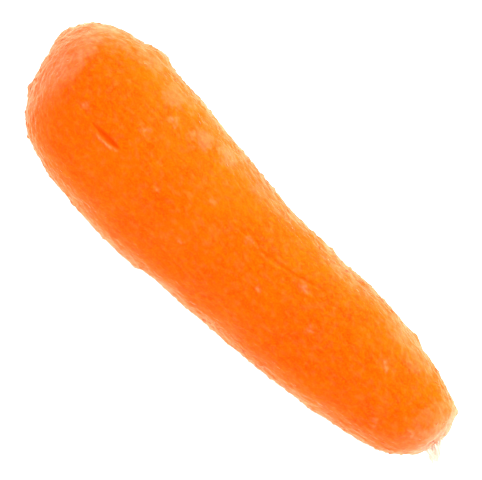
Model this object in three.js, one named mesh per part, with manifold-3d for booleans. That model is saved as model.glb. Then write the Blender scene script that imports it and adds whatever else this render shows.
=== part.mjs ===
// A peeled baby-cut carrot lying on its side: one solid piece of root, in millimetres.
// +X runs from the blunt end to the narrow end and +Z is up. The origin is under the middle of
// the carrot, on the surface that it rests on.
// While it is shaped, x is the distance from the blunt end, and an angle goes round the carrot
// from its +Y side (0 degrees) over the top (90) to its -Y side (180) and under it (270).
import * as THREE from "three";
import { mergeVertices } from "three/addons/utils/BufferGeometryUtils.js";
import Module from "manifold-3d";

// The driving sizes.
const LENGTH = 50; // a two-inch cut, less what peeling takes off its ends
const WIDTH = 14.6; // across the shoulder, the widest place
const HEIGHT_TO_WIDTH = 0.95; // the root is a little flatter than it is wide
const FLAT_DEPTH = 0.26; // how deep the flat spot that it rests on is cut

// The outline, one row for each station along the root: share of the length, share of the half
// width, how far the centre is shifted towards +Y, and how high the centre lies.
const STATIONS = [
  [0, 0, 2.1, 5.9],
  [0.01, 0.28, 1.8, 6.0],
  [0.03, 0.54, 1.25, 6.15],
  [0.06, 0.755, 0.73, 6.35],
  [0.1, 0.905, 0.4, 6.6],
  [0.16, 0.995, 0.2, 6.75],
  [0.24, 1.0, -0.15, 6.74],
  [0.34, 0.975, -0.42, 6.57],
  [0.44, 0.918, -0.42, 6.2],
  [0.56, 0.857, -0.4, 5.78],
  [0.66, 0.826, -0.14, 5.57],
  [0.76, 0.798, 0.17, 5.47],
  [0.84, 0.725, 0.36, 5.35],
  [0.9, 0.63, 0.37, 5.45],
  [0.95, 0.51, 0.58, 5.55],
  [0.98, 0.35, 0.86, 5.65],
  [1, 0, 1.05, 5.7],
];

// How finely the root is faceted: rings along it and sides round it. Cuts and flakes are facets
// of a sphere, stretched.
const RINGS = 72;
const SIDES = 48;
const CUT_FACETS = [16, 10];
const FLAKE_FACETS = [10, 6];
const WELD = 1e-4; // corners closer than this are one corner

// The section is never quite round. Each lobe adds a wave round the root, turning as it goes.
const LOBES = [
  { waves: 2, share: 0.012, turn: 1.5 },
  { waves: 3, share: 0.014, turn: -2.2 },
  { waves: 5, share: 0.006, turn: 4.0 },
];

// Waves and relief fade out towards the ends, where the root is thinner than this share of its width.
const FADE_BELOW = 0.6;

// Gentle waves of the whole peeled surface. Each has so many crests along the root and round it.
const WAVES = [
  { along: 3.4, round: 4, rise: 0.05, phase: 0.4 },
  { along: 6.7, round: -3, rise: 0.045, phase: 2.1 },
  { along: 9.3, round: 6, rise: 0.04, phase: 4.3 },
  { along: 14.6, round: -5, rise: 0.03, phase: 1.2 },
];

// Low swellings and hollows left by growth and by the peeler. Length and width are each one's
// reach along and across itself, and slant turns it from the root's axis, in degrees.
const RELIEF = [
  { x: 7.9, angle: 4, rise: 0.28, length: 1.3, width: 2.4, slant: 0 },
  { x: 5.9, angle: 8, rise: -0.3, length: 1.0, width: 1.8, slant: 0 },
  { x: 37.0, angle: 10, rise: 0.16, length: 4.2, width: 3.0, slant: 0 },
  { x: 34.2, angle: 52, rise: 0.2, length: 3.2, width: 1.9, slant: -6 },
  { x: 35.3, angle: 113, rise: -0.3, length: 4.4, width: 1.5, slant: 10 },
  { x: 18.7, angle: 129, rise: -0.26, length: 3.4, width: 1.3, slant: 6 },
  { x: 26.5, angle: 137, rise: -0.16, length: 3.6, width: 1.4, slant: 4 },
  { x: 14.5, angle: 62, rise: -0.2, length: 4.4, width: 2.4, slant: -8 },
  { x: 22.0, angle: 30, rise: -0.22, length: 4.8, width: 2.6, slant: 0 },
  { x: 14.2, angle: 172, rise: 0.16, length: 3.4, width: 2.6, slant: 0 },
  { x: 44.0, angle: 75, rise: -0.14, length: 2.4, width: 1.8, slant: 30 },
  { x: 10.5, angle: 222, rise: -0.24, length: 3.6, width: 2.2, slant: 12 },
  { x: 24.0, angle: 212, rise: 0.2, length: 4.0, width: 2.4, slant: -8 },
  { x: 38.5, angle: 226, rise: -0.22, length: 3.2, width: 2.0, slant: 0 },
  { x: 17.5, angle: 316, rise: -0.26, length: 5.0, width: 2.2, slant: 9 },
  { x: 31.0, angle: 322, rise: 0.2, length: 3.4, width: 2.2, slant: 0 },
  { x: 42.5, angle: 308, rise: -0.18, length: 2.6, width: 1.8, slant: -12 },
];

// Flats that the tumbling peeler leaves on the sawn ends. Each is a plane through a point, with
// an outward normal, and its edges are rounded over a few times the softness.
const FLATS = [
  { point: [2.35, 0, 10.9], normal: [-0.84, -0.24, 0.48], softness: 0.45 },
  { point: [0.02, 0, 5.5], normal: [-0.95, -0.31, -0.05], softness: 0.25 },
  { point: [50.0, 0.4, 6.6], normal: [0.94, -0.06, 0.34], softness: 0.3 },
];

// Splits and scratches: lens-shaped cuts from one place on the surface to another.
const CUTS = [
  { from: [7.85, 98], to: [11.35, 99.5], width: 0.62, depth: 0.75 },
  { from: [6.1, 96.5], to: [8.3, 98.2], width: 0.34, depth: 0.22 },
  { from: [25.6, 74.5], to: [30.4, 65.5], width: 0.44, depth: 0.26 },
  { from: [29.2, 67], to: [33.6, 57.5], width: 0.4, depth: 0.24 },
  { from: [19.2, 247], to: [22.6, 241], width: 0.5, depth: 0.35 },
  { from: [35.8, 331], to: [40.6, 338], width: 0.4, depth: 0.25 },
];

// Flakes of flesh that the peeler leaves standing. Each lies along the root and lifts from it at
// an angle, with its free end towards the blunt end or, where heading is 1, the narrow end. The
// first is the raised lip of the deepest split.
const FLAKES = [
  { x: 9.75, angle: 102.8, length: 2.7, wide: 0.5, thick: 0.4, lift: 0, heading: 1 },
  { x: 1.5, angle: 199, length: 1.1, wide: 0.6, thick: 0.34, lift: 38, heading: -1 },
  { x: 3.3, angle: 188, length: 0.9, wide: 0.5, thick: 0.3, lift: 30, heading: -1 },
  { x: 8.2, angle: 356, length: 1.1, wide: 0.8, thick: 0.4, lift: 8, heading: 1 },
  { x: 19.4, angle: 183, length: 1.0, wide: 0.5, thick: 0.34, lift: 24, heading: -1 },
  { x: 28.1, angle: 181, length: 1.0, wide: 0.5, thick: 0.3, lift: 18, heading: -1 },
  { x: 39.3, angle: 182, length: 0.9, wide: 0.5, thick: 0.28, lift: 20, heading: 1 },
  { x: 48.3, angle: 6, length: 1.2, wide: 0.8, thick: 0.55, lift: 34, heading: 1 },
];

// The frayed strands of the core at the narrow end: where each starts, as an angle round the
// tip's middle and a distance out from it, and which way it points.
const STRANDS = [
  { out: 0.35, angle: 5, length: 1.8, thick: 0.62, towards: [0.42, -0.89, 0.15] },
  { out: 0.2, angle: 183, length: 1.6, thick: 0.6, towards: [0.65, -0.76, 0] },
  { out: 0.9, angle: 192, length: 1.35, thick: 0.5, towards: [0.95, -0.3, -0.15] },
];
const TIP_DEPTH = 4; // how far in from the narrow end its middle is taken
const STRAND_SIDES = 6;
const STRAND_STEPS = 3;
const STRAND_TAPER = 0.36; // thickness at a strand's end, as a share of that at its root
const STRAND_DROOP = 0.2; // how far its end droops, as a share of its length
const STRAND_FOOT = 0.6; // how far it starts inside the flesh

const TURN = 2 * Math.PI;
const RADIANS = TURN / 360;

// Values between the stations, as smooth curves along the root.
const stationX = STATIONS.map((row) => row[0] * LENGTH);
const column = (n) =>
  new THREE.CubicInterpolant(
    stationX,
    STATIONS.map((row) => row[n]),
    1,
  );
const shiftCurve = column(2);
const heightCurve = column(3);
const centreAt = (x) =>
  new THREE.Vector3(x, shiftCurve.evaluate(x)[0], heightCurve.evaluate(x)[0]);

// The direction straight out of the root at an angle round it.
const outward = (angle) =>
  new THREE.Vector3(0, Math.cos(angle * RADIANS), Math.sin(angle * RADIANS));

// The shortest way round from one angle to another, in radians.
const turnBetween = (a, b) => Math.atan2(Math.sin(a - b), Math.cos(a - b));

// How far the flesh stands above the plain outline at a place on the root.
function reliefAt(x, angle, radius) {
  let rise = 0;
  for (const wave of WAVES)
    rise += wave.rise * Math.sin((wave.along * TURN * x) / LENGTH + wave.round * angle + wave.phase);
  for (const spot of RELIEF) {
    const along = x - spot.x;
    const round = radius * turnBetween(angle, spot.angle * RADIANS);
    const cos = Math.cos(spot.slant * RADIANS);
    const sin = Math.sin(spot.slant * RADIANS);
    const u = (along * cos + round * sin) / spot.length;
    const v = (round * cos - along * sin) / spot.width;
    rise += spot.rise * Math.exp(-u * u - v * v);
  }
  return rise;
}

// Moves a point that stands past a flat's plane back onto it, with a rounded edge.
function pressFlat(point, flat) {
  const normal = new THREE.Vector3(...flat.normal).normalize();
  const past = point.clone().sub(new THREE.Vector3(...flat.point)).dot(normal);
  const moved = flat.softness * Math.log1p(Math.exp(past / flat.softness));
  point.addScaledVector(normal, -moved);
}

// The root itself: the outline turned on a lathe, then shifted, lobed, dented and flattened.
function rootGeometry() {
  const outline = new THREE.SplineCurve(
    STATIONS.map((row) => new THREE.Vector2((row[1] * WIDTH) / 2, row[0] * LENGTH)),
  ).getSpacedPoints(RINGS);
  const lathe = new THREE.LatheGeometry(outline, SIDES);
  const position = lathe.getAttribute("position");
  const point = new THREE.Vector3();
  for (let i = 0; i < position.count; i++) {
    point.fromBufferAttribute(position, i);
    const x = point.y;
    const plain = Math.hypot(point.x, point.z);
    const angle = Math.atan2(point.x, point.z);
    let radius = plain;
    for (const lobe of LOBES)
      radius += plain * lobe.share * Math.sin(lobe.waves * angle + (lobe.turn * x) / LENGTH);
    const fade = Math.min(1, (2 * plain) / (FADE_BELOW * WIDTH));
    radius += fade * reliefAt(x, angle, plain);
    const centre = centreAt(x);
    point.set(
      x,
      centre.y + radius * Math.cos(angle),
      centre.z + radius * HEIGHT_TO_WIDTH * Math.sin(angle),
    );
    for (const flat of FLATS) pressFlat(point, flat);
    position.setXYZ(i, point.x, point.y, point.z);
  }
  return lathe;
}

const wasm = await Module();
wasm.setup();

// A closed geometry as a solid that can be joined and cut.
function solidOf(geometry) {
  const bare = new THREE.BufferGeometry();
  bare.setAttribute("position", geometry.getAttribute("position"));
  bare.setIndex(geometry.index);
  const merged = mergeVertices(bare, WELD);
  return new wasm.Manifold(
    new wasm.Mesh({
      numProp: 3,
      vertProperties: merged.getAttribute("position").array,
      triVerts: new Uint32Array(merged.index.array),
    }),
  );
}

// A solid's vertices and triangles as a geometry.
function geometryOf(solid) {
  const mesh = solid.getMesh();
  const geometry = new THREE.BufferGeometry();
  geometry.setAttribute("position", new THREE.BufferAttribute(mesh.vertProperties, 3));
  geometry.setIndex(new THREE.BufferAttribute(mesh.triVerts, 1));
  return geometry;
}

const root = rootGeometry();
const probe = new THREE.Mesh(root, new THREE.MeshBasicMaterial({ side: THREE.DoubleSide }));

// The place where a ray from inside the root leaves it.
function surfaceFrom(origin, direction) {
  return new THREE.Raycaster(origin, direction).intersectObject(probe)[0].point;
}
const surfaceAt = (x, angle) => surfaceFrom(centreAt(x), outward(angle));

// A lens lying in the surface between two places on it, to be cut away.
function lens(cut) {
  const from = surfaceAt(...cut.from);
  const to = surfaceAt(...cut.to);
  const middle = surfaceAt((cut.from[0] + cut.to[0]) / 2, (cut.from[1] + cut.to[1]) / 2);
  const along = to.clone().sub(from);
  const out = outward((cut.from[1] + cut.to[1]) / 2);
  const across = new THREE.Vector3().crossVectors(out, along).normalize();
  const deep = new THREE.Vector3().crossVectors(along, across).normalize();
  const place = new THREE.Matrix4().makeBasis(along.clone().normalize(), across, deep);
  place.setPosition(middle);
  return new THREE.SphereGeometry(1, ...CUT_FACETS)
    .scale(along.length() / 2, cut.width / 2, cut.depth)
    .applyMatrix4(place);
}

// A flake lying on the surface, half sunk in it.
function flake(spot) {
  const out = outward(spot.angle);
  const heading = new THREE.Vector3(spot.heading, 0, 0);
  const along = heading.clone().multiplyScalar(Math.cos(spot.lift * RADIANS));
  along.addScaledVector(out, Math.sin(spot.lift * RADIANS));
  const across = new THREE.Vector3().crossVectors(out, heading);
  const place = new THREE.Matrix4().makeBasis(
    along,
    across,
    new THREE.Vector3().crossVectors(along, across),
  );
  place.setPosition(surfaceAt(spot.x, spot.angle));
  return new THREE.SphereGeometry(1, ...FLAKE_FACETS)
    .scale(spot.length / 2, spot.wide / 2, spot.thick / 2)
    .applyMatrix4(place);
}

// A tapered strand from inside the flesh, drooping towards its end.
function strand(spot) {
  const inside = centreAt(LENGTH - TIP_DEPTH).addScaledVector(outward(spot.angle), spot.out);
  const start = surfaceFrom(inside, new THREE.Vector3(1, 0, 0));
  const towards = new THREE.Vector3(...spot.towards).normalize();
  const whole = spot.length + STRAND_FOOT;
  const top = (STRAND_TAPER * spot.thick) / 2;
  const cone = new THREE.CylinderGeometry(top, spot.thick / 2, whole, STRAND_SIDES, STRAND_STEPS);
  cone.translate(0, whole / 2 - STRAND_FOOT, 0);
  const position = cone.getAttribute("position");
  const turn = new THREE.Quaternion().setFromUnitVectors(new THREE.Vector3(0, 1, 0), towards);
  const point = new THREE.Vector3();
  for (let i = 0; i < position.count; i++) {
    point.fromBufferAttribute(position, i);
    const share = Math.max(0, point.y) / spot.length;
    point.applyQuaternion(turn).add(start);
    point.z -= STRAND_DROOP * spot.length * share * share;
    position.setXYZ(i, point.x, point.y, point.z);
  }
  return cone;
}

// Everything under the surface that the carrot rests on.
function groundBelow(level) {
  const size = 2 * LENGTH;
  return new THREE.BoxGeometry(size, size, size).translate(LENGTH / 2, 0, level - size / 2);
}

function carrotGeometry() {
  root.computeBoundingBox();
  const rest = root.boundingBox.min.z + FLAT_DEPTH;
  let solid = solidOf(root);
  for (const spot of FLAKES) solid = solid.add(solidOf(flake(spot)));
  for (const spot of STRANDS) solid = solid.add(solidOf(strand(spot)));
  for (const cut of CUTS) solid = solid.subtract(solidOf(lens(cut)));
  const geometry = geometryOf(solid.subtract(solidOf(groundBelow(rest))));
  geometry.computeBoundingBox();
  const box = geometry.boundingBox;
  const middle = box.getCenter(new THREE.Vector3());
  return geometry.translate(-middle.x, -middle.y, -box.min.z);
}

// Peeled flesh: a strong orange with a low, moist sheen.
const flesh = new THREE.MeshStandardMaterial({ color: 0xff7a14, roughness: 0.55, metalness: 0 });

const carrot = new THREE.Mesh(carrotGeometry(), flesh);
carrot.name = "carrot";

const part = new THREE.Group();
part.add(carrot);

export default part;
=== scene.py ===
"""The looks of a peeled baby-cut carrot, lying on a pale floor and seen from straight above."""
import math

import bpy
import numpy as np
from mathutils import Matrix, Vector, noise
from mathutils.bvhtree import BVHTree


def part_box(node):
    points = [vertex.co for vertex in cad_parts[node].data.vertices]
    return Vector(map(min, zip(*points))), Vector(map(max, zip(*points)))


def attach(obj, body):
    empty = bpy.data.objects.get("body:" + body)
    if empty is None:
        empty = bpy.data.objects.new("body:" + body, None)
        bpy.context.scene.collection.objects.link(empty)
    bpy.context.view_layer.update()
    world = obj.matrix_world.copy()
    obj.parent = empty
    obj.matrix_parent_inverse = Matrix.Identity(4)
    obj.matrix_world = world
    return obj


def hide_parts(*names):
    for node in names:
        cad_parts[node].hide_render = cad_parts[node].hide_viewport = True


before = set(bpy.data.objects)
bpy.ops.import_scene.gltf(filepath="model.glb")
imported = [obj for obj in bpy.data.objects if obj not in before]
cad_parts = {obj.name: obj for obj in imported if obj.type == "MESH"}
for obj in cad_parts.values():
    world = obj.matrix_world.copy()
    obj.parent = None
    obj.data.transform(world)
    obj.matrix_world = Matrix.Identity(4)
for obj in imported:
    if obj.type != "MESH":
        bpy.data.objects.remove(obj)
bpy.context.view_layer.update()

# Shapes are worked out in millimetres in the row frame, and made in metres. A place on the root is
# given by its distance from the blunt end, then sideways, and then up where it needs that.
MM = 0.001
LOW, HIGH = (np.array(corner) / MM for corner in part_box("carrot"))
BLUNT_END = LOW[0]
LENGTH = 50.0  # the root without the frayed strands at its narrow end
rng = np.random.default_rng(7)

# The picture: its width at the carrot's middle height, and the place that it aims at.
PICTURE_WIDTH = 43.1
AIM = (-0.89, 0.79)
ROLL = math.radians(45)
LENS = 180.0
SENSOR = 36.0
NEAREST_SEEN = 0.01  # metres

# The skin is sampled along rays from a line inside the root, which fan out round its two ends.
INNER_START = np.array([BLUNT_END + 7.0, 0.1, 6.6])
INNER_END = np.array([BLUNT_END + 45.2, 0.35, 5.5])
ROWS_BLUNT = 70
ROWS_SIDE = 256
ROWS_TIP = 50
ROUND_SAMPLES = 256
ROUND_POINTS = 256
TOP_BIAS = 0.5  # how much denser the points are on top than halfway down
TIPWARD = 0.2  # rays that lean more than this to the narrow end stop where the root's length does
MEDIAN_REACH = 5  # in samples, each way: takes out splits and flakes, which are made again finer
SMOOTH = 0.42  # takes out the facets
SMALLEST_RING = 0.05


def smoothstep(low, high, value):
    t = np.clip((value - low) / (high - low), 0, 1)
    return t * t * (3 - 2 * t)


def unit(v):
    return v / np.linalg.norm(v, axis=-1, keepdims=True)


# The grid of rays

ALONG = unit(INNER_END - INNER_START)
SIDEWAYS = unit(np.cross([0, 0, 1], ALONG))
UPWARD = np.cross(ALONG, SIDEWAYS)


def rows_of_rays():
    """Each row's origin, and how far its rays lean along the root and point out from it."""
    blunt = (np.arange(ROWS_BLUNT) + 0.5) / ROWS_BLUNT * math.pi / 2
    side = (np.arange(ROWS_SIDE) + 0.5) / ROWS_SIDE
    tip = math.pi / 2 - (np.arange(ROWS_TIP) + 0.5) / ROWS_TIP * math.pi / 2
    origin = np.concatenate([
        np.tile(INNER_START, (ROWS_BLUNT, 1)),
        INNER_START + side[:, None] * (INNER_END - INNER_START),
        np.tile(INNER_END, (ROWS_TIP, 1)),
    ])
    lean = np.concatenate([-np.cos(blunt), np.zeros(ROWS_SIDE), np.cos(tip)])
    out = np.concatenate([np.sin(blunt), np.ones(ROWS_SIDE), np.sin(tip)])
    return origin, lean, out


def ray_directions(lean, out, angles):
    ring = np.cos(angles)[:, None] * SIDEWAYS + np.sin(angles)[:, None] * UPWARD
    return lean[:, None, None] * ALONG + out[:, None, None] * ring[None]


def sampled_reach(origin, directions):
    """How far each ray goes before it leaves the CAD solid. The frayed strands don't count."""
    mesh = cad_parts["carrot"].data
    points = [tuple(np.array(v.co) / MM) for v in mesh.vertices]
    tree = BVHTree.FromPolygons(points, [tuple(p.vertices) for p in mesh.polygons])
    reach = np.empty(directions.shape[:2])
    for i, row in enumerate(directions.tolist()):
        start = origin[i].tolist()
        for j, direction in enumerate(row):
            reach[i, j] = tree.ray_cast(start, direction)[3]
    ahead = directions[..., 0]
    limit = (BLUNT_END + LENGTH - origin[:, None, 0]) / np.maximum(ahead, TIPWARD)
    return np.where(ahead > TIPWARD, np.minimum(reach, limit), reach)


def past_the_ends(grid, rows):
    """The grid continued over both ends, where the far side comes next."""
    half = grid.shape[1] // 2
    before = np.roll(grid[:rows][::-1], half, axis=1)
    after = np.roll(grid[-rows:][::-1], half, axis=1)
    return np.concatenate([before, grid, after])


def median_filtered(grid, reach):
    shifts = range(-reach, reach + 1)
    grid = np.median([np.roll(grid, s, axis=1) for s in shifts], axis=0)
    wide = past_the_ends(grid, reach)
    rows = len(grid)
    return np.median([wide[reach + s:reach + s + rows] for s in shifts], axis=0)


def smoothed(grid, out, width, spacing):
    """The grid blurred over the same width along the root and round it."""
    ring = np.maximum(grid.mean(axis=1) * out, SMALLEST_RING)
    waves = np.arange(grid.shape[1] // 2 + 1)
    damping = np.exp(-0.5 * (waves[None] * width / ring[:, None]) ** 2)
    grid = np.fft.irfft(np.fft.rfft(grid, axis=1) * damping, n=grid.shape[1], axis=1)
    reach = math.ceil(3 * width / spacing)
    weights = np.exp(-0.5 * (np.arange(-reach, reach + 1) * spacing / width) ** 2)
    weights /= weights.sum()
    wide = past_the_ends(grid, reach)
    rows = len(grid)
    return sum(w * wide[k:k + rows] for k, w in enumerate(weights))


def point_angles():
    """Angles round the root, closer together on top."""
    even = np.arange(ROUND_POINTS) / ROUND_POINTS * 2 * math.pi
    return even + TOP_BIAS * np.cos(even)


def at_angles(grid, angles):
    """The evenly sampled grid read at other angles."""
    place = np.mod(angles, 2 * math.pi) / (2 * math.pi) * ROUND_SAMPLES
    left = np.floor(place).astype(int)
    share = place - left
    left = left % ROUND_SAMPLES
    right = (left + 1) % ROUND_SAMPLES
    return grid[:, left] * (1 - share) + grid[:, right] * share


def base_skin():
    """The smooth skin as a grid of points, from the CAD solid."""
    origin, lean, out = rows_of_rays()
    even = np.arange(ROUND_SAMPLES) / ROUND_SAMPLES * 2 * math.pi
    reach = sampled_reach(origin, ray_directions(lean, out, even))
    spacing = np.linalg.norm(INNER_END - INNER_START) / ROWS_SIDE
    reach = median_filtered(reach, MEDIAN_REACH)
    reach = smoothed(reach, out, SMOOTH, spacing)
    angles = point_angles()
    fine = at_angles(reach, angles)
    return origin[:, None] + ray_directions(lean, out, angles) * fine[..., None]


def grid_normals(points):
    round_step = np.roll(points, -1, axis=1) - np.roll(points, 1, axis=1)
    wide = past_the_ends(points, 1)
    along_step = wide[2:] - wide[:-2]
    return unit(np.cross(round_step, along_step))


def skin_distances():
    """Distances over the skin, along the root and across it, for marks that follow it."""
    steps = np.linalg.norm(np.diff(SKIN, axis=0), axis=2)
    along = np.concatenate([np.zeros((1, ROUND_POINTS)), np.cumsum(steps, axis=0)])
    middle = INNER_START + ((SKIN - INNER_START) @ ALONG)[..., None] * ALONG
    ring = SKIN - middle
    return np.stack([along, ring @ SIDEWAYS, ring @ UPWARD], axis=2)


SKIN = base_skin()
NORMALS = grid_normals(SKIN)
TO_X, TO_Y, TO_Z = (NORMALS[..., axis] for axis in range(3))  # how far each normal points each way
X = SKIN[..., 0] - BLUNT_END
Y = SKIN[..., 1]
ON_TOP = smoothstep(0.0, 0.4, TO_Z)
UNROLLED = skin_distances()
SEED_STEP = np.array([17.3, 5.1, 9.7])  # keeps the noise of different seeds apart


def noise_at(points, size, seed):
    """Smooth noise from -1 to 1 at each point, with lumps of about that size along each axis."""
    scaled = (points / np.asarray(size) + SEED_STEP * seed).reshape(-1, 3)
    values = np.fromiter((noise.noise(p) for p in scaled.tolist()), float, len(scaled))
    return values.reshape(points.shape[:-1])


def grain(size, seed):
    return noise_at(SKIN, size, seed)


def uneven(mean, swing, size, seed):
    """A value that varies over the skin by about the swing, up and down from its mean."""
    return mean + swing * grain(size, seed)


def fibre_grain(along, across, seed):
    """Noise drawn out along the root or round it, following the skin."""
    return noise_at(UNROLLED, (along, across, across), seed)


# Marks on the skin

# The deep split near the blunt end and the lip torn up along it.
SPLIT = [(7.75, -1.16), (9.3, -1.21), (10.5, -1.17), (11.6, -1.1)]
SPLIT_HALF_WIDTH = 0.3
SPLIT_NARROWEST = 0.06
SPLIT_DEPTH = 0.26
SPLIT_SKEW = 1.4  # more than 1 puts the widest place past the middle
SPLIT_FULLNESS = 0.8  # less than 1 blunts the ends
SPLIT_WALL = 3.4  # how steep the walls are
SPLIT_END = 0.02  # how open it stays at its ends, as a share
LIP_GAP = 0.16
LIP_HALF_WIDTH = 0.12
LIP_HEIGHT = 0.08
LIP_HIGHEST = 1.5  # where it is torn up most, in such heights
LIP_REACH = 1.0
LIP_STARTS = (0.3, 0.5)  # as shares of the split's length

# The crease that leads to the split, and the long scratch.
CREASE = [(5.6, -0.75), (6.6, -0.92), (8.2, -1.15)]
CREASE_HALF_WIDTH = 0.14
CREASE_DEPTH = 0.05
CREASE_FADE = 0.3  # the share of its length over which each end fades
SCRATCH = [
    (25.4, 1.05), (26.3, 1.27), (27.8, 1.53), (29.4, 1.83), (30.6, 2.15), (31.9, 2.57), (33.6, 3.05),
]
SCRATCH_HALF_WIDTH = 0.25
SCRATCH_DEPTH = 0.14
SCRATCH_FADE = 0.22
LINE_LIP_PLACE = 1.9  # from the middle of a crease or scratch, in half widths
LINE_LIP_HEIGHT = 0.2  # as a share of its depth

# Pale spots where a bit of flesh is bruised or torn up: place, and size across.
SPOTS = [
    ((11.9, 1.66), 0.7), ((20.4, 1.4), 0.6), ((6.6, -0.6), 0.6), ((25.1, 1.2), 0.6), ((31.2, 1.75), 0.8),
    ((20.9, -3.0), 0.5), ((38.6, -6.0), 0.9), ((47.2, -0.6), 0.7), ((13.0, 3.9), 0.7), ((34.5, -0.5), 0.7),
    ((16.2, -1.3), 0.5), ((28.4, -1.2), 0.5), ((41.3, 1.9), 0.6), ((44.2, -2.2), 0.6),
]
SPOT_STRETCH = 1.3  # how much longer a spot is, along the root, than wide
SPOT_HEIGHT = 0.05

# Larger places where the flesh has dried pale: place, reach along the root and round it, strength.
DRY_PLACES = [
    ((1.0, 3.1), 0.7, 0.9, 0.16), ((2.5, 0.6), 0.5, 0.9, 0.12), ((4.7, 5.6), 1.5, 0.8, 0.16),
    ((7.6, 6.4), 1.6, 0.7, 0.2), ((11.7, 5.7), 1.3, 0.8, 0.18), ((15.8, 4.7), 0.9, 0.7, 0.19),
    ((18.3, 5.3), 1.1, 0.7, 0.23), ((22.5, 5.0), 0.9, 0.6, 0.12), ((33.0, 5.2), 1.6, 0.7, 0.16),
    ((40.4, 4.9), 2.4, 0.7, 0.16), ((43.4, 4.2), 1.5, 0.8, 0.12), ((47.4, 1.6), 0.9, 1.4, 0.12),
]
DRY_EDGE = (1.6, 0.1)  # from nothing to full strength, as shares of the reach

# Knobs and low swellings on the outline: place, reach, how far they stand out, how pale they are.
KNOBS = [
    ((1.66, -2.85, 6.3), 0.8, 0.42, 0.6),
    ((3.3, -4.9, 6.2), 0.6, 0.12, 0.3),
    ((8.1, 7.5, 6.7), 0.9, 0.1, 0.2),
    ((19.4, -7.3, 6.5), 0.5, 0.18, 0.3),
    ((28.0, -6.8, 6.1), 0.5, 0.12, 0.2),
    ((39.3, -5.5, 5.7), 0.4, 0.14, 0.2),
    ((48.85, 3.35, 5.6), 1.15, 0.46, 0.55),
    ((0.3, 2.6, 6.0), 1.9, 0.25, 0.0),
    ((41.6, 5.6, 5.4), 1.8, 0.22, 0.0),
    ((49.6, 1.9, 5.6), 1.9, 0.3, 0.1),
    ((49.6, -1.2, 5.5), 1.5, 0.3, 0.1),
]
KNOB_SHARPNESS = 1.4  # 1 makes cones, and more makes finer points


def distance_to_path(path):
    """How far each point is from a path seen from above, how far along it, and on which side."""
    best = np.full(X.shape, np.inf)
    share = np.zeros(X.shape)
    side = np.zeros(X.shape)
    path = np.array(path)
    lengths = np.linalg.norm(np.diff(path, axis=0), axis=1)
    total = lengths.sum()
    done = 0.0
    for start, end, length in zip(path[:-1], path[1:], lengths):
        way = (end - start) / length
        u = np.clip((X - start[0]) * way[0] + (Y - start[1]) * way[1], 0, length)
        dx = X - start[0] - u * way[0]
        dy = Y - start[1] - u * way[1]
        d = np.hypot(dx, dy)
        nearer = d < best
        best = np.where(nearer, d, best)
        share = np.where(nearer, (done + u) / total, share)
        side = np.where(nearer, dy * way[0] - dx * way[1], side)
        done += length
    return best, share, side


def split_marks():
    """The split's relief, how deep in it each point is, and how far up its lip."""
    far, share, side = distance_to_path(SPLIT)
    opening = np.sin(math.pi * np.clip(share, 0, 1) ** SPLIT_SKEW) ** SPLIT_FULLNESS + SPLIT_END
    width = SPLIT_HALF_WIDTH * opening
    inside = np.exp(-(far / np.maximum(width, SPLIT_NARROWEST)) ** SPLIT_WALL) * ON_TOP * opening
    lip = np.exp(-((side + width + LIP_GAP) / LIP_HALF_WIDTH) ** 2) * opening
    lip *= smoothstep(*LIP_STARTS, share) * ON_TOP
    broken = np.clip(uneven(0.8, 1.9, (0.32, 0.3, 0.3), 32), 0, LIP_HIGHEST)
    lip *= (far < LIP_REACH) * broken
    return -SPLIT_DEPTH * inside + LIP_HEIGHT * lip, inside, lip


def line_marks(path, half_width, depth, fade):
    """The relief of a crease or scratch, and how deep in it each point is."""
    far, share, side = distance_to_path(path)
    strength = smoothstep(0, fade, share) * smoothstep(0, fade, 1 - share) * ON_TOP
    width = half_width * uneven(0.75, 0.5, (0.9, 0.9, 0.9), 31)
    inside = np.exp(-(far / width) ** 2) * strength
    lip = np.exp(-((side + LINE_LIP_PLACE * half_width) / half_width) ** 2) * strength
    return -depth * inside + LINE_LIP_HEIGHT * depth * lip, inside


def spot_marks():
    """How strong the pale spots are, with bent and ragged outlines and speckled inside."""
    pale = np.zeros(X.shape)
    bent = 0.45 * grain((0.7, 0.6, 0.6), 44)
    ragged = uneven(1, 0.9, (0.4, 0.35, 0.35), 45)
    speckled = uneven(0.6, 0.9, (0.25, 0.25, 0.25), 41)
    for (x, y), size in SPOTS:
        far = np.hypot(X - x + bent, (Y - y) * SPOT_STRETCH - bent) * ragged
        pale = np.maximum(pale, np.exp(-(2 * far / size) ** 2) * ON_TOP)
    return np.clip(pale * speckled, 0, 1)


def dry_marks():
    """How pale the larger dry places are, with ragged edges."""
    ragged = 0.9 * grain((0.9, 0.7, 0.7), 42) + 0.9 * grain((0.35, 0.3, 0.3), 43)
    pale = np.zeros(X.shape)
    for (x, y), along, across, strength in DRY_PLACES:
        far = np.hypot((X - x) / along, (Y - y) / across) + ragged
        pale = np.maximum(pale, strength * smoothstep(*DRY_EDGE, far) * ON_TOP)
    return pale


def knob_marks():
    """The knobs' relief, and how pale it is there."""
    rise = np.zeros(X.shape)
    pale = np.zeros(X.shape)
    for place, reach, height, paleness in KNOBS:
        far = np.linalg.norm(SKIN - np.add(place, (BLUNT_END, 0, 0)), axis=-1)
        shape = np.clip(1 - (far - far.min()) / reach, 0, 1) ** KNOB_SHARPNESS
        rise += height * shape
        pale = np.maximum(pale, paleness * shape)
    return rise, pale


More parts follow.
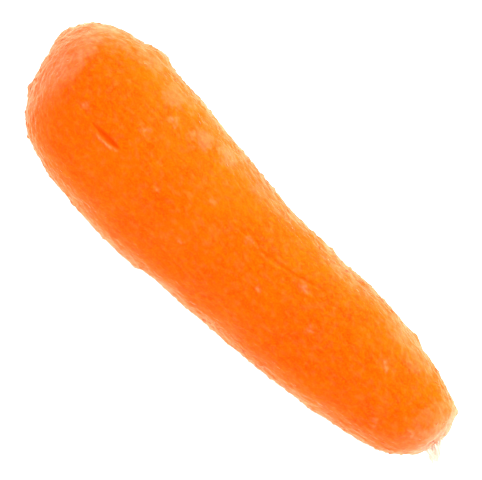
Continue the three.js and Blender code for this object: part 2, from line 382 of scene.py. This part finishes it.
# The sides, and the sawn and filed faces at the two ends, have ragged edges. Where they begin and
# are complete is told by how far the skin faces up, back or forward.
SIDE_RANGE = (0.1, 0.75)
BLUNT_RANGE = (0.5, 0.72)
BLUNT_SKEW = 0.2  # how much its face is turned to +Y
TIP_RANGE = (0.22, 0.75)
TIP_RAGGED = 1.4  # how much more ragged its edge is
RAGGED = 0.13 * grain((1.1, 0.9, 0.9), 51) + 0.07 * grain((0.45, 0.4, 0.4), 52)
STEEP = 1 - smoothstep(*SIDE_RANGE, TO_Z + RAGGED)
BLUNT_FACE = smoothstep(*BLUNT_RANGE, RAGGED - TO_X + BLUNT_SKEW * TO_Y)
TIP_FACE = smoothstep(*TIP_RANGE, TIP_RAGGED * RAGGED + TO_X)
END_FACE = np.maximum(BLUNT_FACE, TIP_FACE)

SPLIT_RISE, SPLIT_INSIDE, SPLIT_LIP = split_marks()
CREASE_RISE = line_marks(CREASE, CREASE_HALF_WIDTH, CREASE_DEPTH, CREASE_FADE)[0]
SCRATCH_RISE, SCRATCH_INSIDE = line_marks(SCRATCH, SCRATCH_HALF_WIDTH, SCRATCH_DEPTH, SCRATCH_FADE)
SPOT = spot_marks()
KNOB_RISE, KNOB_PALE = knob_marks()

# The heights of the skin's grain, in millimetres.
LUMPS = 0.05
ROUGH_GRAIN = 0.05
FINE_GRAIN = 0.035
PEELED_FIBRES = 0.03
FILED_LINES = 0.025
TORN_FIBRES = 0.22
PITS = 0.12
ROUGH_ON_TOP = 0.85  # the share of the roughness there
ROUGHER_SIDES = 0.6  # how much more the sides have
TORN_FROM = 0.12  # fibres stand up where their noise is above this
PITS_FROM = 0.42
SPLIT_CALM = 0.8  # the share of the grain that is missing inside the split


def skin_grain():
    """How far the grain alone stands off the smooth skin."""
    lumps = LUMPS * grain((2.6, 2.0, 2.0), 1)
    rough = ROUGH_GRAIN * grain((0.7, 0.6, 0.6), 2) + FINE_GRAIN * grain((0.38, 0.32, 0.32), 3)
    rough *= ROUGH_ON_TOP + ROUGHER_SIDES * STEEP
    peeled = PEELED_FIBRES * fibre_grain(1.7, 0.5, 4) * (1 - END_FACE)
    filed = FILED_LINES * fibre_grain(0.32, 2.0, 5) * END_FACE
    torn = TORN_FIBRES * np.clip(fibre_grain(0.45, 0.8, 6) - TORN_FROM, 0, 1) * STEEP
    pits = PITS * np.clip(grain((0.8, 0.5, 0.5), 7) - PITS_FROM, 0, 1)
    return lumps + rough + peeled + filed + torn - pits


def relief():
    """How far the surface stands off the smooth skin."""
    calm = skin_grain() * (1 - SPLIT_CALM * SPLIT_INSIDE)
    return calm + SPLIT_RISE + CREASE_RISE + SCRATCH_RISE + SPOT_HEIGHT * SPOT + KNOB_RISE


# How pale each part of the skin is, as a share: blanched flesh, and on the sides partly painted reflection
# and light.
BLUNT_PALE = 0.24
BLUNT_PALE_TO_Y = 0.16  # how much more towards +Y
BLUNT_OUTER_LOSS = 0.7  # how much less on the outermost part of the blunt end, as a share
TIP_PALE = 0.34
SIDE_PALE = 0.07
SIDE_SHARPNESS = 1.3  # more than 1 keeps the paleness off the top
STRANDS_PALE = 0.33
STRANDS_TO_Y = 0.12  # the share of them that is left towards +Y
CLOUDS_PALE = 0.27
# Painted reflection of the bright floor and world along the outline, and painted light on the -Y flank.
PAINTED_RIM_REFLECTION = 0.13
PAINTED_LEE_FLANK_LIGHT = 0.09
BELOW_LOSS = 0.6  # how much less under the outline, as a share
FLECKS_PALE = 0.05
SPOTS_PALE = 0.34
LIP_PALE = 0.35


def pale_ends():
    """How blanched the sawn and filed faces at the two ends are."""
    patchy = uneven(0.75, 0.7, (1.1, 0.9, 0.9), 11) + 0.4 * fibre_grain(0.4, 1.8, 12)
    outer = smoothstep(0.7, 0.95, -TO_X)
    blunt = BLUNT_FACE * (BLUNT_PALE + BLUNT_PALE_TO_Y * smoothstep(-0.2, 0.3, TO_Y))
    return (blunt * (1 - BLUNT_OUTER_LOSS * outer) + TIP_PALE * TIP_FACE) * patchy


def pale_sides():
    """Pale sides: blanched clouds towards +Y and strands towards -Y, the lee side, with painted reflection
    and light near the outline.
    """
    lee = smoothstep(0.3, -0.5, TO_Y)
    strands = fibre_grain(0.95, 0.33, 14) + 0.3 * grain((2.4, 1.6, 1.6), 15)
    strands = smoothstep(-0.15, 0.45, strands) * (STRANDS_TO_Y + (1 - STRANDS_TO_Y) * lee)
    clouds = grain((1.3, 1.0, 2.6), 17) + 0.5 * grain((0.5, 0.45, 1.4), 18)
    clouds = smoothstep(-0.3, 0.5, clouds) * (1 - lee)
    # The sides' paleness is partly blanching and partly painted reflection of the bright floor.
    sides = STEEP ** SIDE_SHARPNESS * (SIDE_PALE + STRANDS_PALE * strands + CLOUDS_PALE * clouds)
    # Painted reflection along the outline, and painted light on the -Y flank.
    painted_rim_reflection = PAINTED_RIM_REFLECTION * smoothstep(0.5, 0.1, TO_Z + RAGGED)
    painted_lee_flank_light = PAINTED_LEE_FLANK_LIGHT * lee * smoothstep(0.82, 0.4, TO_Z) * smoothstep(-0.2, 0.3, TO_Z)
    below = smoothstep(0.05, -0.45, TO_Z)
    return (sides + painted_rim_reflection + painted_lee_flank_light) * (1 - BELOW_LOSS * below)


def pale_marks():
    """How blanched the dry places, flecks, spots and knobs and the split's lip are."""
    flecks = smoothstep(-0.1, 0.7, grain((0.5, 0.45, 0.45), 13))
    return dry_marks() + FLECKS_PALE * flecks + SPOTS_PALE * SPOT + LIP_PALE * SPLIT_LIP + KNOB_PALE


# How red the insides of the split and the scratch are.
SPLIT_RED = 1.6
SCRATCH_RED = 0.4

# Where the root's pale core comes out at the narrow end: sideways and up, and how far it reaches.
CORE_PLACE = (0.9, 5.4)
CORE_RADIUS = 3.4
CORE_SOLID = 0.55  # the share of its radius within which it is at full strength
CORE_STRENGTH = 0.7


def core_share():
    """How much of the pale core shows on the narrow end's face."""
    ragged = 0.7 * grain((0.6, 0.5, 0.5), 16)
    far = np.linalg.norm(SKIN[..., 1:] - CORE_PLACE, axis=-1) + ragged
    facing = smoothstep(0.5, 0.92, TO_X) * smoothstep(0.75, 0.2, TO_Z)
    return CORE_STRENGTH * smoothstep(CORE_RADIUS, CORE_SOLID * CORE_RADIUS, far) * facing


RISE = relief()
PALE = np.clip(pale_ends() + pale_sides() + pale_marks(), 0, 1)
CORE = core_share()
DEEP = np.clip(SPLIT_RED * SPLIT_INSIDE + SCRATCH_RED * SCRATCH_INSIDE, 0, 1)


# Meshes

def make_object(name, points, faces, attributes):
    mesh = bpy.data.meshes.new(name)
    mesh.from_pydata((points * MM).tolist(), [], faces)
    for label, values in attributes.items():
        layer = mesh.attributes.new(label, "FLOAT", "POINT")
        layer.data.foreach_set("value", np.asarray(values, dtype=np.float32))
    mesh.polygons.foreach_set("use_smooth", [True] * len(mesh.polygons))
    mesh.update()
    thing = bpy.data.objects.new(name, mesh)
    bpy.context.scene.collection.objects.link(thing)
    return thing


def skin_object():
    """The root's whole surface, closed by a point at each end."""
    grid = SKIN + NORMALS * RISE[..., None]
    grid[..., 2] = np.maximum(grid[..., 2], 0)
    rows, columns = grid.shape[:2]
    ends = np.array([grid[0].mean(axis=0), grid[-1].mean(axis=0)])
    points = np.concatenate([grid.reshape(-1, 3), ends])
    first, last = rows * columns, rows * columns + 1
    here = np.arange(columns)
    after = (here + 1) % columns
    faces = []
    for i in range(rows - 1):
        near, far = i * columns, (i + 1) * columns
        faces += np.stack([near + here, near + after, far + after, far + here], axis=1).tolist()
    faces += [[first, b, a] for a, b in zip(here.tolist(), after.tolist())]
    end = (rows - 1) * columns
    faces += [[last, end + a, end + b] for a, b in zip(here.tolist(), after.tolist())]

    def with_ends(values):
        return np.concatenate([values.ravel(), [values[0].mean(), values[-1].mean()]])

    shares = {"pale": with_ends(PALE), "deep": with_ends(DEEP), "core": with_ends(CORE)}
    return make_object("carrot_skin", points, faces, shares)


BLADE_FULLNESS = 1.6  # 1 tapers a blade evenly, and more keeps it wide for longer


def blade(start, towards, up, length, width, thick, steps=3, curl=0.0):
    """The points and faces of a thin tapered blade, four-sided and closed at both ends."""
    across = unit(np.cross(towards, up))
    up = np.cross(across, towards)
    points = []
    for k in range(steps):
        t = k / steps
        taper = 1 - t ** BLADE_FULLNESS
        centre = start + towards * length * t + up * curl * length * t * t
        points += [
            centre + across * width / 2 * taper,
            centre + up * thick / 2 * taper,
            centre - across * width / 2 * taper,
            centre - up * thick / 2 * taper,
        ]
    points.append(start + towards * length + up * curl * length)
    faces = [[0, 1, 2, 3]]
    for k in range(steps - 1):
        a, b = 4 * k, 4 * k + 4
        faces += [[a + i, b + i, b + (i + 1) % 4, a + (i + 1) % 4] for i in range(4)]
    end = 4 * (steps - 1)
    faces += [[end + i, 4 * steps, end + (i + 1) % 4] for i in range(4)]
    return np.array(points), faces


def merged_blades(name, blades, pale, core):
    """All the blades as one object, each with its own share of paleness and core."""
    points, faces, count = [], [], 0
    shares = {"pale": [], "deep": [], "core": []}
    for (made, made_faces), pale_value, core_value in zip(blades, pale, core):
        points.append(made)
        faces += [[count + i for i in face] for face in made_faces]
        shares["pale"] += [pale_value] * len(made)
        shares["deep"] += [0.0] * len(made)
        shares["core"] += [core_value] * len(made)
        count += len(made)
    return make_object(name, np.concatenate(points), faces, shares)


# The bits torn up by the peeler. Pairs are the lowest and highest value.
SHREDS = 4600
SHRED_LENGTH = (0.25, 0.65)
SHRED_SHORTEST = 0.6  # some are shorter still, down to this share
SHRED_WIDTH = (0.12, 0.26)
SHRED_THICKNESS = 0.05
SHRED_LIFT = (0.02, 0.12)  # on top
SHRED_STEEP_LIFT = 0.18  # how much more on the sides
SHRED_CURL = -0.6  # back towards the skin, as a share of the lift
SHRED_TURN = 0.5  # how far they stray from the root's direction, in radians
SHRED_SINK = 0.03  # how deep they start
SHRED_CLEARANCE = 0.4  # no shred starts lower than this, so none reaches the floor
SHREDS_AT_ENDS = 0.1  # how many the end faces have, next to the sides
SHREDS_BETWEEN_CLUMPS = 0.25  # how many there are, next to 1.25 in a clump
SHRED_PALE_SHARE = 0.7  # of the skin's own paleness
SHRED_PALE_CHANGE = (-0.05, 0.12)
SHRED_END_PALE = 0.15  # how much paler at the ends


def shred_places():
    """Rows and columns of the skin's grid where a shred starts: in clumps, mostly on the sides."""
    room = np.linalg.norm(np.roll(SKIN, -1, axis=1) - SKIN, axis=2)
    chance = room * (STEEP + SHREDS_AT_ENDS * END_FACE) * (SKIN[..., 2] > SHRED_CLEARANCE)
    chance *= SHREDS_BETWEEN_CLUMPS + smoothstep(-0.3, 0.5, grain((3.0, 2.2, 2.2), 21))
    chance = (chance / chance.sum()).ravel()
    return np.unravel_index(rng.choice(chance.size, SHREDS, p=chance), X.shape)


def shreds_object():
    """Bits of flesh torn up by the peeler, lying along the root, or round it on the ends."""
    made, shade, core = [], [], []
    for i, j in zip(*shred_places()):
        normal = NORMALS[i, j]
        along = unit(ALONG - normal * (ALONG @ normal))
        around = np.cross(normal, along)
        turn = rng.normal(0, SHRED_TURN) + math.pi / 2 * (END_FACE[i, j] > 0.5)
        turn += math.pi * (rng.random() < 0.5)
        flat = along * math.cos(turn) + around * math.sin(turn)
        lift = rng.uniform(*SHRED_LIFT) + SHRED_STEEP_LIFT * STEEP[i, j] * rng.random()
        towards = unit(flat + normal * lift)
        start = SKIN[i, j] + normal * (RISE[i, j] - SHRED_SINK)
        length = rng.uniform(*SHRED_LENGTH)
        length *= SHRED_SHORTEST + (1 - SHRED_SHORTEST) * rng.random()
        width = rng.uniform(*SHRED_WIDTH)
        made.append(blade(start, towards, normal, length, width, SHRED_THICKNESS, curl=SHRED_CURL * lift))
        change = rng.uniform(*SHRED_PALE_CHANGE) + SHRED_END_PALE * END_FACE[i, j] * rng.random()
        shade.append(SHRED_PALE_SHARE * PALE[i, j] + change)
        core.append(CORE[i, j])
    return merged_blades("torn_shreds", made, np.clip(shade, 0, 1), core)


# The frayed strands of the core at the narrow end: a wisp drawn together where it ends. Spreads are
# standard deviations.
WISP_STRANDS = 120
WISP_ROOT_X = BLUNT_END + 49.35
WISP_ROOT_SLANT = 0.2  # how much further along the root it starts, for each millimetre towards +Y
WISP_ROOT_Y = (-0.7, 1.15)
WISP_ROOT_Y_SPREAD = 0.12
WISP_ROOT_Z = 5.5
WISP_ROOT_Z_SPREAD = 0.3
WISP_END = np.array([BLUNT_END + 51.2, -1.0, 5.3])
WISP_END_SPREAD = (0.18, 0.32, 0.3)
WISP_LENGTH_SHARE = (0.7, 1.08)
WISP_WIDTH = (0.07, 0.18)
WISP_THICKNESS = 0.07
WISP_CURL_SPREAD = 0.14
WISP_STEPS = 6
WISP_CORE = (0.7, 1.0)

# Short fuzz on the face of the narrow end.
FUZZ_STRANDS = 150
FUZZ_LEAST_CORE = 0.4  # it grows only where this much of the core shows
FUZZ_LOWEST = -0.5  # and where the face doesn't look further down than this
FUZZ_SINK = 0.1
FUZZ_LEAN = (0, -0.3, 0)
FUZZ_LEAN_SPREAD = 0.35
FUZZ_UP = np.array([0, 0.3, 1.0])
FUZZ_LENGTH = (0.25, 0.6)
FUZZ_WIDTH = (0.05, 0.12)
FUZZ_THICKNESS = 0.05
FUZZ_CURL_SPREAD = 0.3
FUZZ_STEPS = 4
FUZZ_PALE = (0.8, 1.0)
FUZZ_CORE = (0.3, 1.0)


def wisp_blades():
    made = []
    up = np.array([0, 0, 1.0])
    for _ in range(WISP_STRANDS):
        y = rng.uniform(*WISP_ROOT_Y) + rng.normal(0, WISP_ROOT_Y_SPREAD)
        z = WISP_ROOT_Z + rng.normal(0, WISP_ROOT_Z_SPREAD)
        start = np.array([WISP_ROOT_X + WISP_ROOT_SLANT * y, y, z])
        way = WISP_END + rng.normal(0, 1, 3) * WISP_END_SPREAD - start
        length = np.linalg.norm(way) * rng.uniform(*WISP_LENGTH_SHARE)
        width = rng.uniform(*WISP_WIDTH)
        curl = rng.normal(0, WISP_CURL_SPREAD)
        made.append(blade(start, unit(way), up, length, width, WISP_THICKNESS, WISP_STEPS, curl))
    return made


def fuzz_blades():
    made = []
    rows, columns = np.nonzero((CORE > FUZZ_LEAST_CORE) & (TO_Z > FUZZ_LOWEST))
    for k in rng.integers(0, len(rows), FUZZ_STRANDS):
        place, normal = SKIN[rows[k], columns[k]], NORMALS[rows[k], columns[k]]
        way = unit(normal + rng.normal(0, FUZZ_LEAN_SPREAD, 3) + FUZZ_LEAN)
        start = place - FUZZ_SINK * normal
        length = rng.uniform(*FUZZ_LENGTH)
        width = rng.uniform(*FUZZ_WIDTH)
        curl = rng.normal(0, FUZZ_CURL_SPREAD)
        made.append(blade(start, way, FUZZ_UP, length, width, FUZZ_THICKNESS, FUZZ_STEPS, curl))
    return made


def wisp_object():
    made = wisp_blades()
    core = rng.uniform(*WISP_CORE, len(made))
    return merged_blades("frayed_tip", made, np.zeros(len(made)), core)


def fuzz_object():
    made = fuzz_blades()
    pale = rng.uniform(*FUZZ_PALE, len(made))
    core = rng.uniform(*FUZZ_CORE, len(made))
    return merged_blades("fuzz_at_tip", made, pale, core)


# Materials

def node(tree, kind, settings=None, **sockets):
    """A new node with its settings and sockets filled in.

    A socket is named, or numbered as i0, i1 and so on, and takes a value or another node's output.
    """
    made = tree.nodes.new(kind)
    for name, value in (settings or {}).items():
        setattr(made, name, value)
    for name, value in sockets.items():
        numbered = name[0] == "i" and name[1:].isdigit()
        socket = made.inputs[int(name[1:]) if numbered else name]
        if isinstance(value, bpy.types.NodeSocket):
            tree.links.new(value, socket)
        else:
            socket.default_value = value
    return made


def noise_in(tree, place, size, detail=2.0, roughness=0.5, stretch=(1, 1, 1)):
    """Noise from 0 to 1 with lumps of a size in millimetres, stretched along the axes."""
    scale = tuple(1 / (size * MM * s) for s in stretch)
    mapped = node(tree, "ShaderNodeMapping", Vector=place, Scale=scale)
    return node(tree, "ShaderNodeTexNoise", Vector=mapped.outputs["Vector"], Scale=1.0, Detail=detail,
                Roughness=roughness).outputs["Fac"]


def ramp(tree, value, low, high, to_low=0.0, to_high=1.0):
    return node(tree, "ShaderNodeMapRange", {"clamp": True}, i0=value, i1=low, i2=high, i3=to_low,
                i4=to_high).outputs[0]


def mix(tree, share, first, second):
    made = node(tree, "ShaderNodeMix", {"data_type": "RGBA"}, i0=share)
    for index, value in ((6, first), (7, second)):
        if isinstance(value, bpy.types.NodeSocket):
            tree.links.new(value, made.inputs[index])
        else:
            made.inputs[index].default_value = (*value, 1.0)
    return made.outputs[2]


def times(tree, first, second):
    return node(tree, "ShaderNodeMath", {"operation": "MULTIPLY"}, i0=first, i1=second).outputs[0]


def plus(tree, first, second):
    return node(tree, "ShaderNodeMath", {"operation": "ADD"}, i0=first, i1=second).outputs[0]


def fill_sockets(shader, values):
    for socket, value in values.items():
        shader.inputs[socket].default_value = value


DEEP_ORANGE = (0.96, 0.082, 0.0)
ORANGE = (0.98, 0.112, 0.0)
FIBRE = (0.98, 0.19, 0.0)
BLANCHED_AND_REFLECTED = (0.98, 0.43, 0.21)
INSIDE_RED = (1.0, 0.105, 0.0)
CORE_YELLOW = (0.98, 0.47, 0.3)
CREAM = (1.0, 0.93, 0.8)
WHITE = (1.0, 1.0, 1.0)
MOIST_ROUGHNESS = (0.42, 0.62)
PALE_ROUGHNESS = 0.12  # how much duller the pale places are, partly blanched and partly painted reflection
SPECK_BUMP = 0.8  # next to the fibres' 1
FINE_BUMP = 0.35
BUMP_STRENGTH = 0.7


def flesh_material(name, core_colour, bump_depth, see_through, painted_glow):
    """Peeled carrot flesh: uneven orange with paler fibres, deep and core places, pale places that are
    partly blanched and partly painted reflection, and a painted glow where it is given one.
    """
    material = bpy.data.materials.new(name)
    material.use_nodes = True
    tree = material.node_tree
    shader = tree.nodes["Principled BSDF"]
    place = node(tree, "ShaderNodeTexCoord").outputs["Object"]
    pale, deep, core = (
        node(tree, "ShaderNodeAttribute", {"attribute_name": label}).outputs["Fac"]
        for label in ("pale", "deep", "core")
    )

    patches = ramp(tree, noise_in(tree, place, size=7.0, detail=1.0), 0.35, 0.65)
    fibres = noise_in(tree, place, size=0.36, detail=3.0, stretch=(2.0, 1, 1))
    specks = noise_in(tree, place, size=0.4, roughness=0.55)
    mottle = noise_in(tree, place, size=1.1, stretch=(1.3, 1, 1))
    fine = noise_in(tree, place, size=0.17, detail=1.0)

    colour = mix(tree, patches, DEEP_ORANGE, ORANGE)
    # Each layer of paler fibres: its noise, the range of it that shows, and its strength.
    layers = [
        (mottle, 0.35, 0.75, 0.34),
        (fibres, 0.45, 0.75, 0.4),
        (specks, 0.52, 0.8, 0.45),
        (fine, 0.4, 0.75, 0.55),
    ]
    for pattern, low, high, strength in layers:
        colour = mix(tree, ramp(tree, pattern, low, high, to_high=strength), colour, FIBRE)
    uneven = ramp(tree, fibres, 0.25, 0.75, 0.75, 1.2)
    # Pale places: blanched flesh, and painted reflection and light near the outline.
    colour = mix(tree, times(tree, pale, uneven), colour, BLANCHED_AND_REFLECTED)
    colour = mix(tree, core, colour, core_colour)
    colour = mix(tree, deep, colour, INSIDE_RED)
    tree.links.new(colour, shader.inputs["Base Color"])

    moist = ramp(tree, specks, 0.3, 0.7, *MOIST_ROUGHNESS)
    rough = plus(tree, moist, times(tree, pale, PALE_ROUGHNESS))
    tree.links.new(rough, shader.inputs["Roughness"])
    fill_sockets(shader, {
        "IOR": 1.4,
        "Specular IOR Level": 0.02,
        "Sheen Weight": 1.0,
        "Sheen Roughness": 0.28,
        "Sheen Tint": (1.0, 0.95, 0.64, 1.0),
        "Subsurface Weight": see_through,
        "Subsurface Radius": (1.0, 0.4, 0.12),
        "Subsurface Scale": 0.9 * MM,
        # The emission is a painted glow, standing in for light that passes through thin strands.
        "Emission Color": (*CREAM, 1.0),
        "Emission Strength": painted_glow,
    })

    height = plus(tree, fibres, times(tree, specks, SPECK_BUMP))
    height = plus(tree, height, times(tree, fine, FINE_BUMP))
    bump = node(tree, "ShaderNodeBump", Height=height, Strength=BUMP_STRENGTH, Distance=bump_depth * MM)
    tree.links.new(bump.outputs["Normal"], shader.inputs["Normal"])
    return material


def floor_material():
    """A white floor, lit through like a light table, so that it shows next to no shadow."""
    material = bpy.data.materials.new("white_floor")
    material.use_nodes = True
    fill_sockets(material.node_tree.nodes["Principled BSDF"], {
        "Base Color": (0.9, 0.9, 0.9, 1.0),
        "Roughness": 0.9,
        "Emission Color": (*WHITE, 1.0),
        "Emission Strength": 0.75,
    })
    return material


# Light, floor and camera, with places and sizes in metres

FLOOR_HALF = 3.0
WORLD_STRENGTH = 0.66
LAMP_SIZE = 0.3
KEY_PLACE = (0.06, 0.39, 0.29)
KEY_POWER = 2.95
FILL_PLACE = (0.0, -0.4, 0.1)
FILL_POWER = 1.0


def make_floor():
    mesh = bpy.data.meshes.new("floor")
    corners = [(-1, -1, 0), (1, -1, 0), (1, 1, 0), (-1, 1, 0)]
    mesh.from_pydata([(x * FLOOR_HALF, y * FLOOR_HALF, z) for x, y, z in corners], [], [(0, 1, 2, 3)])
    floor = bpy.data.objects.new("floor", mesh)
    mesh.materials.append(floor_material())
    bpy.context.scene.collection.objects.link(floor)


def area_light(name, place, power):
    """A white lamp that looks at the origin."""
    data = bpy.data.lights.new(name, "AREA")
    data.size = LAMP_SIZE
    data.energy = power
    data.color = WHITE
    lamp = bpy.data.objects.new(name, data)
    lamp.location = place
    lamp.rotation_euler = Vector(place).to_track_quat("Z", "Y").to_euler()
    bpy.context.scene.collection.objects.link(lamp)


def make_light():
    world = bpy.data.worlds.new("studio")
    world.use_nodes = True
    back = world.node_tree.nodes["Background"]
    fill_sockets(back, {"Color": (*WHITE, 1.0), "Strength": WORLD_STRENGTH})
    bpy.context.scene.world = world
    area_light("key", KEY_PLACE, KEY_POWER)
    area_light("fill", FILL_PLACE, FILL_POWER)
    bpy.context.scene.view_settings.view_transform = "Standard"
    bpy.context.scene.view_settings.look = "None"


def make_camera():
    data = bpy.data.cameras.new("camera")
    data.lens = LENS
    data.sensor_width = SENSOR
    data.clip_start = NEAREST_SEEN
    camera = bpy.data.objects.new("camera", data)
    middle = (LOW[2] + HIGH[2]) / 2 * MM
    height = middle + PICTURE_WIDTH * MM * LENS / SENSOR
    camera.location = (AIM[0] * MM, AIM[1] * MM, height)
    camera.rotation_euler = (0, 0, ROLL)
    bpy.context.scene.collection.objects.link(camera)
    bpy.context.scene.camera = camera


make_camera()
make_floor()
make_light()

FLESH = flesh_material("carrot_flesh", CORE_YELLOW, bump_depth=0.12, see_through=0.25, painted_glow=0.0)
TORN = flesh_material("torn_flesh", CORE_YELLOW, bump_depth=0.05, see_through=0.0, painted_glow=0.0)
# The frayed wisp gets a painted glow, for light passing through its thin strands.
FRAYED = flesh_material("frayed_flesh", CREAM, bump_depth=0.03, see_through=0.0, painted_glow=0.14)

pieces = [
    (skin_object(), FLESH),
    (shreds_object(), FLESH),
    (wisp_object(), FRAYED),
    (fuzz_object(), TORN),
]
for piece, material in pieces:
    piece.data.materials.append(material)
    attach(piece, "root")
    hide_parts("carrot")
